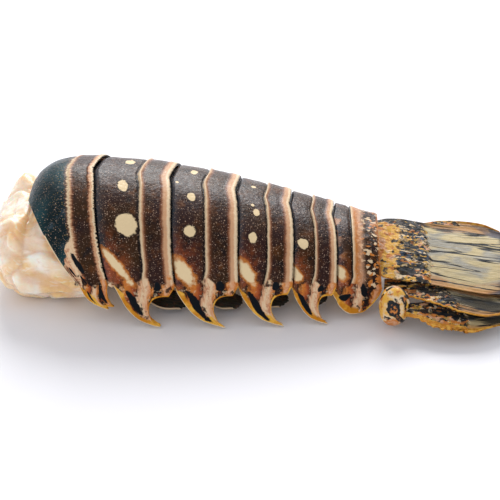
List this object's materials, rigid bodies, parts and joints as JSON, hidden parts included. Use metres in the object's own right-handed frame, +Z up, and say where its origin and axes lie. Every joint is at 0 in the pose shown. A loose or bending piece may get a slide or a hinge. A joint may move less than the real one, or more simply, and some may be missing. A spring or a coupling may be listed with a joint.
{
  "type": "raw lobster tail",
  "caption": "Raw spiny lobster tail, shell on, lying on its belly with the cut meat bulging out at the front and the tail fan spread flat behind.",
  "frame": {"origin": "middle of the bottom of the tail's box, on the surface it lies on", "axes": "+X from the cut meat towards the tail fan, +Z up out of the back, +Y to the tail's own right side"},
  "size_m": [0.179, 0.0666, 0.0428],
  "materials": {
    "meat": "wet, slightly see-through raw meat, cream white with honey-tinted folds",
    "shell_dome": "smooth wet blue-black dome with a cream serrated edge",
    "shell_ring": "wet brown shell with cream spots, speckles, ridges and borders",
    "shell_rear": "wet brown and cream mottled shell",
    "fan": "ribbed blades, mottled blue-black, cream and amber at the root, horn-like at the end",
    "fan_base": "amber and cream knob with black marks",
    "swimmeret": "thin green-black flaps with a pale edge"
  },
  "bodies": {
    "root": {"meat": "meat", "shell_1": "shell_dome", "shell_2": "shell_ring", "shell_3": "shell_ring", "shell_4": "shell_ring", "shell_5": "shell_ring", "shell_6": "shell_rear", "telson": "fan", "uropod_base_near": "fan_base", "endopod_near": "fan", "exopod_near": "fan", "uropod_base_far": "fan_base", "endopod_far": "fan", "exopod_far": "fan", "swimmeret_2_near": "swimmeret", "swimmeret_3_near": "swimmeret", "swimmeret_4_near": "swimmeret", "swimmeret_5_near": "swimmeret", "swimmeret_2_far": "swimmeret", "swimmeret_3_far": "swimmeret", "swimmeret_4_far": "swimmeret", "swimmeret_5_far": "swimmeret"}
  },
  "joints": []
}
